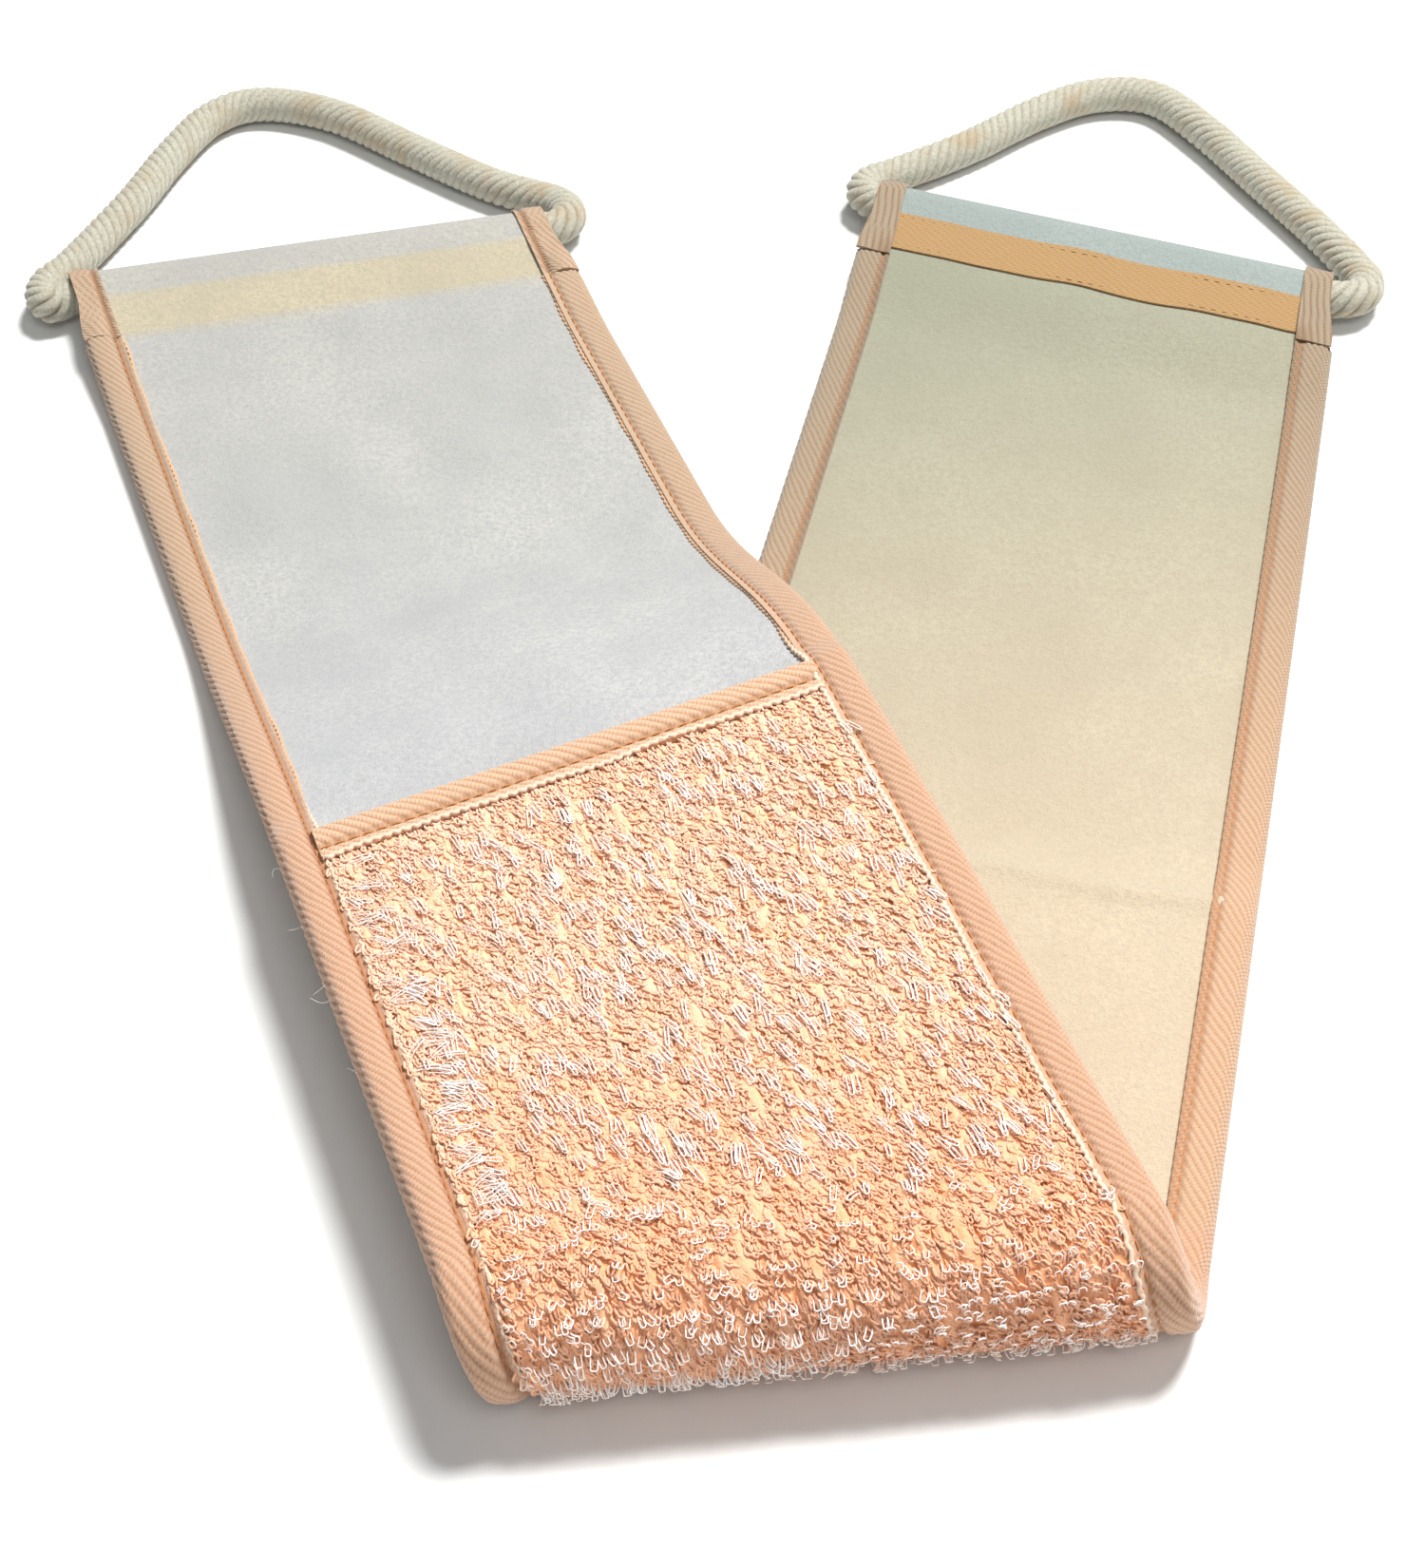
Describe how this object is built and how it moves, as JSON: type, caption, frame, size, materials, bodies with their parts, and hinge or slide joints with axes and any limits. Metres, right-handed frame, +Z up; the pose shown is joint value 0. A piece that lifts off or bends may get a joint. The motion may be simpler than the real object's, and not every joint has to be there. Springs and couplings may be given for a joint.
{
  "type": "back scrubber",
  "caption": "Folded cloth back-scrubbing strap with a terry scrub panel, bound edges and a rope handle through the hem at each end.",
  "frame": {"origin": "on the floor, under the middle of the strap's bounding box without its rope handles", "axes": "+Z up, out of the floor. The strap lies folded in a V that opens towards +Y, with its fold at -Y, the front leg going up and to -X and the rear leg going up and to +X."},
  "size_m": [0.3083, 0.3871, 0.0345],
  "materials": {
    "terry": "looped cotton pile with white nylon loops, peach",
    "binding_tape": "ribbed cotton twill tape, peach",
    "hem_tape": "cotton tape, orange tan",
    "face_cloth": "brushed cotton flannel, white",
    "reverse_cloth": "brushed cotton flannel, cream",
    "wadding": "soft polyester wadding, white",
    "thread": "sewing thread, orange",
    "rope": "twisted cotton rope, cream"
  },
  "bodies": {
    "rear_strap": {"fold_face_cloth": "face_cloth", "fold_left_binding": "binding_tape", "fold_left_seam": "thread", "fold_reverse_cloth": "reverse_cloth", "fold_right_binding": "binding_tape", "fold_right_seam": "thread", "fold_terry": "terry", "fold_wadding": "wadding", "rear_cross_seam": "thread", "rear_cross_tape": "binding_tape", "rear_face_cloth": "face_cloth", "rear_hem_seam_inner": "thread", "rear_hem_seam_outer": "thread", "rear_hem_tape": "hem_tape", "rear_left_binding": "binding_tape", "rear_left_binding_turnover": "binding_tape", "rear_left_seam_plain_side": "thread", "rear_left_seam_terry_side": "thread", "rear_reverse_cloth": "reverse_cloth", "rear_right_binding": "binding_tape", "rear_right_binding_turnover": "binding_tape", "rear_right_seam_plain_side": "thread", "rear_right_seam_terry_side": "thread", "rear_terry": "terry", "rear_wadding": "wadding"},
    "front_strap": {"front_cross_seam": "thread", "front_cross_tape": "binding_tape", "front_face_cloth": "face_cloth", "front_hem_seam_inner": "thread", "front_hem_seam_outer": "thread", "front_hem_tape": "hem_tape", "front_left_binding": "binding_tape", "front_left_binding_turnover": "binding_tape", "front_left_seam_plain_side": "thread", "front_left_seam_terry_side": "thread", "front_reverse_cloth": "reverse_cloth", "front_right_binding": "binding_tape", "front_right_binding_turnover": "binding_tape", "front_right_seam_plain_side": "thread", "front_right_seam_terry_side": "thread", "front_terry": "terry", "front_wadding": "wadding"},
    "front_handle": {"front_rope_handle": "rope", "front_rope_splice": "thread"},
    "rear_handle": {"rear_rope_handle": "rope", "rear_rope_splice": "thread"}
  },
  "joints": [
    {"name": "strap_fold", "type": "hinge", "parent": "rear_strap", "child": "front_strap", "pos_m": [0.006, -0.1616, 0.0151], "axis": [1, 0, 0], "range_deg": [0, 175], "deforming": ["fold_face_cloth", "fold_left_binding", "fold_left_seam", "fold_reverse_cloth", "fold_right_binding", "fold_right_seam", "fold_terry", "fold_wadding"]},
    {"name": "front_handle_swing", "type": "hinge", "parent": "front_strap", "child": "front_handle", "pos_m": [-0.08766, 0.15073, 0.0061], "axis": [0.9955, 0.0952, 0], "range_deg": [0, 130]},
    {"name": "rear_handle_swing", "type": "hinge", "parent": "rear_strap", "child": "rear_handle", "pos_m": [0.09347, 0.13014, 0.0061], "axis": [0.8871, -0.4615, 0], "range_deg": [0, 130]}
  ]
}
